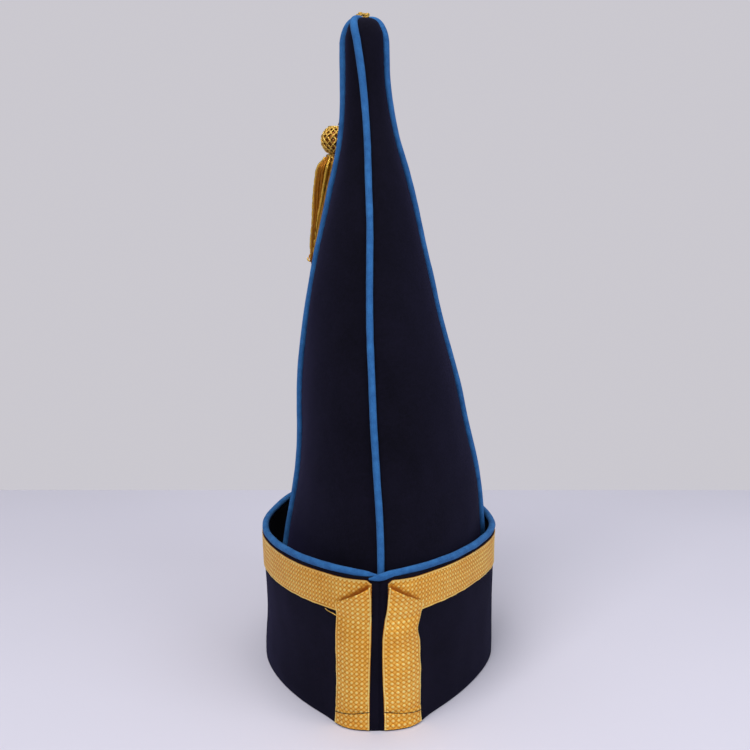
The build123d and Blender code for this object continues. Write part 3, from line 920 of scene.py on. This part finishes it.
def bag():
    """Both lengths of the bag, each spanning one fold, split halfway between the folds."""
    bag_length("lower", BAG_FOOT, BAG_SPLIT,
               ["bag_canvas_lower", "bag_canvas_middle"])
    bag_length("upper", BAG_SPLIT, None,
               ["bag_canvas_upper"])


# ---- the tassel ------------------------------------------------------------------------------
# The cord's route from the knot down behind the bag to the tassel's head.
CORD_ROUTE = [(-12, 3.5, 453), (-17, 9.5, 451), (-19.5, 15.8, 443), (-20.3, 19, 428),
              (-21.6, 24.2, 405), (-27.4, 27.2, 381.5)]
CORD_RADIUS = 1.5
# Radii of the cords of the knot, the net, the binding and the fringe.
KNOT_CORD, NET_CORD, BINDING_CORD, FRINGE_CORD = 0.62, 0.58, 0.5, 1.08
# The net: how far it stands off the head, and its ends as shares of the way from pole to pole.
NET_LIFT = 0.5
NET_TOP, NET_FOOT = 0.14, 0.93


def node_box(node):
    """Low corner, high corner and middle of a node's box, in millimetres."""
    low, high = (np.array(corner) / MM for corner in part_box(node))
    return low, high, (low + high) / 2


def route_line():
    """The cord's line, read from a smooth spline on the route's points."""
    data = bpy.data.curves.new("route", "CURVE")
    data.dimensions = "3D"
    data.resolution_u = 24
    spline = data.splines.new("NURBS")
    spline.points.add(len(CORD_ROUTE) - 1)
    for point, place in zip(spline.points, CORD_ROUTE):
        point.co = (*(np.array(place) * MM), 1)
    spline.order_u = 3
    spline.use_endpoint_u = True
    curve = bpy.data.objects.new("route", data)
    bpy.context.scene.collection.objects.link(curve)
    mesh = bpy.data.meshes.new_from_object(curve)
    line = np.array([vertex.co for vertex in mesh.vertices])
    bpy.data.objects.remove(curve)
    return line


def strand_around(line, offset, turns, start, radius, **shape):
    """A strand wound round a line at an offset, with a number of turns over its length."""
    tangent = unit(np.gradient(line, axis=0))
    side = unit(np.cross(tangent, (0.3, 1, 0.1)))
    step = run_length(line)
    angle = (start + FULL_TURN * turns * step / step[-1])[:, None]
    path = line + offset * (np.cos(angle) * side + np.sin(angle) * np.cross(tangent, side))
    return tube_object("strand", path, radius, BULLION, **shape)


def tassel_rope():
    """The hanging cord: three gold strands laid together."""
    line = route_line()
    path = line / MM
    offset = CORD_RADIUS * 0.5
    strands = [strand_around(path, offset, 9.5, FULL_TURN * i / 3, CORD_RADIUS * 0.52,
                             sides=12, twist=5.0, lobes=6, lobe_depth=0.09) for i in range(3)]
    piece = join("tassel_rope", strands)
    fit(piece, "tassel_hanger", "gold_bullion", "tassel_cord")


def tip_knot():
    """The Turk's head knot on the tip: a cord that winds round and over itself."""
    centre = node_box("tip_knot")[2] + (0.6, 0, -2.9)
    t = np.linspace(0, FULL_TURN, 420, endpoint=False)
    leads, bights = 3, 5
    parts = []
    for offset in (0.0, 0.55):
        reach = 1.75 + 0.3 * np.cos(2 * bights * t)
        z = 1.45 * np.cos(bights * t) + 0.25 * np.sin(2 * bights * t) + (offset - 0.27) * 0.8
        path = centre + around(leads * t + offset * 0.25, reach, z)
        path = np.vstack([path, path[:1]])
        parts.append(tube_object("lead", path, KNOT_CORD, BULLION, sides=9, twist=6.0, lobes=5,
                                 lobe_depth=0.1))
    core = np.array([centre + (0, 0, h) for h in np.linspace(-2.0, 2.0, 12)])
    core_radius = 1.7 * np.sin(np.linspace(0.5, math.pi - 0.5, 12))
    parts.append(tube_object("core", core, core_radius, BULLION, sides=16))
    piece = join("tip_knot_cord", parts)
    fit(piece, "tassel_swivel", "gold_bullion", "tip_knot")


def head_core():
    """The wound core of the tassel's head: thread wound round a wooden ball, with a hole down it."""
    low, high, centre = node_box("tassel_head_core")
    half, height = (high[0] - low[0]) / 2, (high[2] - low[2]) / 2
    angle = np.linspace(0, FULL_TURN, 72, endpoint=False)
    polar = np.linspace(0.2, math.pi - 0.2, 150)
    ridges = 0.22 * np.abs(np.sin(polar * half / 0.7 * 1.6))
    bore_rows, bore_radius = 10, 2.1
    radius = np.r_[half * np.sin(polar) - 0.1 + ridges, np.full(bore_rows, bore_radius)][:, None]
    z = height * np.cos(polar)
    z = np.r_[z, np.linspace(z[-1], z[0], bore_rows)][:, None]
    grid = around(angle, radius, z) + centre
    piece = grid_object("tassel_head_wound", grid, WOUND, wrap_rows=True, wrap_cols=True, flip=True)
    fit(piece, "tassel", "turned_wood", "tassel_head_core")
    return centre, half, height


def head_net(centre, half, height):
    """The knotted gold net over the head, gathered round the two poles."""
    meshes_round, turns = 13, 0.42
    t = np.linspace(NET_TOP, NET_FOOT, 90)
    polar = t * math.pi
    parts = []
    for way in (1, -1):
        for i in range(meshes_round):
            phase = FULL_TURN * i / meshes_round
            a = phase + way * FULL_TURN * turns * (t - 0.5)
            crossings = 2 * meshes_round * turns * (t - 0.5) + 2 * i * (1 if way > 0 else -1)
            over = 0.28 * way * np.cos(np.pi * crossings)
            r = half * np.sin(polar) + NET_LIFT + over
            path = centre + around(a, r, (height + NET_LIFT) * np.cos(polar))
            parts.append(tube_object("mesh_cord", path, NET_CORD, BULLION, sides=9, twist=5.2,
                                     lobes=4, lobe_depth=0.16))
    a = np.linspace(0, FULL_TURN, 60)
    for pole, radius in ((NET_TOP, 0.95), (NET_FOOT, 1.0)):
        r = half * math.sin(pole * math.pi) + NET_LIFT
        ring = centre + around(a, r, (height + 0.7) * math.cos(pole * math.pi))
        parts.append(tube_object("ring", ring, radius, BULLION, sides=12, twist=5.0, lobes=5,
                                 lobe_depth=0.12))
    piece = join("tassel_head_net", parts)
    fit(piece, "tassel", "gold_bullion", "tassel_net")


def head_binding():
    """The binding under the head: one thread wound round the neck, and pulled a little uneven."""
    low, high, centre = node_box("tassel_binding")
    radius = (high[0] - low[0]) / 2 - 1.7
    foot, top = centre[2] - 1.75, centre[2] + 2.2
    turns = 4
    t = np.linspace(0, 1, turns * 48)
    a = FULL_TURN * turns * t
    r = radius - 0.25 * np.cos(math.pi * (2 * t - 1)) - 0.5 * (2 * t - 1) ** 2
    z = foot + 0.55 + (top - foot - 1.1) * t + 0.1 * np.sin(3 * a)
    path = around(a, r, z - centre[2]) + centre
    windings = tube_object("windings", path, BINDING_CORD, BULLION, sides=10, twist=6, lobes=5,
                           lobe_depth=0.12)
    core = np.array([(centre[0], centre[1], h) for h in np.linspace(foot + 0.1, top - 0.1, 8)])
    band = tube_object("band", core, radius - 0.5, BULLION, sides=40)
    piece = join("tassel_neck_binding", [windings, band])
    fit(piece, "tassel", "gold_bullion", "tassel_binding")
    return centre


def fringe(neck):
    """The skirt: long twisted strands that spread under the neck and gather to a curled tip."""
    low, high, _ = node_box("tassel_fringe")
    reach = 6.8
    tip = np.array([low[0] + reach - 2.2, high[1] - reach, low[2] + 3.0])
    rng = np.random.default_rng(7)
    parts = []
    t = np.linspace(0, 1, 46)
    spread_at = (0, 0.05, 0.11, 0.3, 0.55, 0.85, 1)
    spread_by = (0.5, 0.78, 1.0, 0.91, 0.63, 0.33, 0.14)
    profile = np.pad(np.interp(t, spread_at, spread_by), 2, mode="edge")
    profile = np.convolve(profile, np.ones(5) / 5, "valid")
    for count, spread, phase in ((6, 2.4, 0.0), (13, 5.6, 0.4), (27, 9.2, 0.1)):
        for i in range(count):
            a = FULL_TURN * (i + phase) / count + rng.normal(0, 0.05)
            spin = 0.12 * np.sin(t * 5 + i) + 0.16 * t * rng.normal()
            end = tip + rng.normal(0, (0.6, 0.6, 1.2))
            start = neck + (0, 0, 0.8)
            axis = start + (end - start) * t[:, None]
            r = spread * profile * (1 + 0.04 * rng.normal())
            path = axis + around(a + spin, r, -0.25 * (spread - r))
            waves = np.stack([np.sin(t * 17 + a * 3), np.cos(t * 14 + a * 5)], -1)
            path[:, :2] += 0.25 * waves * t[:, None]
            radius = FRINGE_CORD * (0.82 + 0.18 * smoothstep(0, 0.12, t)) * (1 - 0.4 * smoothstep(0.8, 1, t))
            parts.append(tube_object("strand", path, radius, FRINGE, sides=9, twist=2.6, lobes=3,
                                     lobe_depth=0.17))
    t = np.linspace(0, 1, 40)
    for i, turn in enumerate((1, -1, 1)):
        a = 1.7 + 0.5 * i + turn * 4.6 * t
        r = 1.9 * (1 - 0.3 * t)
        path = tip + np.stack([-1.2 - 0.6 * i + r * np.cos(a), 0.9 * i + 0.5 * r * np.sin(a),
                               1.6 + r * np.sin(a) - 0.9 * i], -1)
        parts.append(tube_object("curl", path, 0.62 * (1 - 0.4 * t), FRINGE, sides=8, twist=3.0, lobes=3,
                                 lobe_depth=0.15))
    piece = join("tassel_skirt", parts)
    fit(piece, "tassel", "gold_bullion", "tassel_fringe")


# ---- inside the turban -----------------------------------------------------------------------
def sweatband():
    """The leather sweatband, stitched along its lower edge and softly creased."""
    low, high, _ = node_box("sweatband")
    inset = TURBAN_HALF_DEPTH - high[1]
    thickness = 1.15
    s = np.linspace(0, GIRTH, 420, endpoint=False)
    share = np.linspace(0, 1, 26)
    depth = np.r_[np.full(len(share), inset), (inset + thickness + 0.5 * share)[::-1]]
    z = low[2] + (high[2] - low[2]) * np.r_[share, share[::-1]]
    crease = 0.3 * ripple(plan_point(s[:, None], z, 0), 14, 61) * np.r_[0 * share, share[::-1]]
    grid = plan_point(s[:, None], z, crease - depth)
    band = grid_object("sweatband_leather_band", grid, LEATHER, wrap_rows=True, wrap_cols=True)
    count = int(GIRTH / 5)
    arch = np.array([-0.1, 0.22, 0.3, 0.22, -0.1])
    stitches = []
    for i in range(count):
        s = (i + np.linspace(0.12, 0.88, 5)) * GIRTH / count
        path = plan_point(s, low[2] + 2.6, -(inset + thickness + 0.08 + arch))
        stitches.append(tube_object("stitch", path, BAND_THREAD, THREAD, sides=6))
    fit(band, "turban", "sweatband_leather", "sweatband")
    fit(join("sweatband_stitches", stitches), "turban", "dark_thread")


# ---- camera, light, stage --------------------------------------------------------------------
CAMERA_PLACE = (-2.8, -735, 357.7)
CAMERA_PITCH = 0.201
CAMERA_LENS = 50.75
FLOOR_BACK = 384
FLOOR_SIDE = 2600


def camera():
    """From the front and a little above, through a normal lens."""
    data = bpy.data.cameras.new("camera")
    data.lens = CAMERA_LENS
    data.sensor_width = 36
    obj = bpy.data.objects.new("camera", data)
    obj.location = Vector(CAMERA_PLACE) * MM
    obj.rotation_euler = (math.pi / 2 - CAMERA_PITCH, 0, 0)
    bpy.context.scene.collection.objects.link(obj)
    bpy.context.scene.camera = obj


def area_light(name, place, target, size, power, colour):
    """A soft box at place, aimed at target; millimetres and watts."""
    data = bpy.data.lights.new(name, "AREA")
    data.shape = "RECTANGLE"
    data.size, data.size_y = (side * MM for side in size)
    data.energy = power
    data.color = colour
    obj = bpy.data.objects.new(name, data)
    obj.location = Vector(place) * MM
    aim = Vector(target) * MM - obj.location
    obj.rotation_euler = aim.to_track_quat("-Z", "Y").to_euler()
    bpy.context.scene.collection.objects.link(obj)


def stage():
    """A pale floor that ends behind the cap, a pale surround, and soft light from three sides."""
    corners = [(-FLOOR_SIDE, -FLOOR_SIDE, 0), (FLOOR_SIDE, -FLOOR_SIDE, 0),
               (FLOOR_SIDE, FLOOR_BACK, 0), (-FLOOR_SIDE, FLOOR_BACK, 0)]
    floor = make_mesh("floor", corners, [[0, 1, 2, 3]], FLOOR)
    area_light("key", (-500, -900, 1500), (0, 0, 200), (900, 900), 17, (1.0, 0.985, 0.97))
    area_light("fill", (900, -700, 700), (0, 0, 220), (900, 900), 6, (0.95, 0.97, 1.0))
    area_light("top", (0, 150, 1500), (0, 60, 0), (1200, 900), 8, (1, 1, 1))
    world = bpy.data.worlds.new("studio")
    world.use_nodes = True
    nodes, links = world.node_tree.nodes, world.node_tree.links
    light = nodes["Background"]
    light.inputs["Color"].default_value = (0.9, 0.92, 1.0, 1)
    light.inputs["Strength"].default_value = SURROUND_LIGHT
    seen = nodes.new("ShaderNodeBackground")
    seen.inputs["Color"].default_value = (*SURROUND_TONE, 1)
    ray = nodes.new("ShaderNodeLightPath")
    mix = nodes.new("ShaderNodeMixShader")
    links.new(ray.outputs["Is Camera Ray"], mix.inputs["Fac"])
    links.new(light.outputs["Background"], mix.inputs[1])
    links.new(seen.outputs["Background"], mix.inputs[2])
    links.new(mix.outputs["Shader"], nodes["World Output"].inputs["Surface"])
    bpy.context.scene.world = world
    bpy.context.scene.view_settings.view_transform = "Standard"


# ---- the whole cap ---------------------------------------------------------------------------
camera()
for name in ("left", "right"):
    turban_cloth(name)
rim_piping()
hem_roll()
lace_band()
for name, direction in (("left", -1), ("right", 1)):
    lace_strip(name, direction)
lace_stitches()
loose_thread()
bag()
tassel_rope()
tip_knot()
head_net(*head_core())
fringe(head_binding())
sweatband()
turban_layer("turban_canvas_stiffening", "turban_canvas", CANVAS, "stiff_canvas", CLOTH + 0.02, 0.86, 4)
turban_layer("turban_cotton_lining", "turban_lining", LINING, "lining_cotton", CLOTH + 0.9, 0.5, 2)
wadding_fill()
stage()
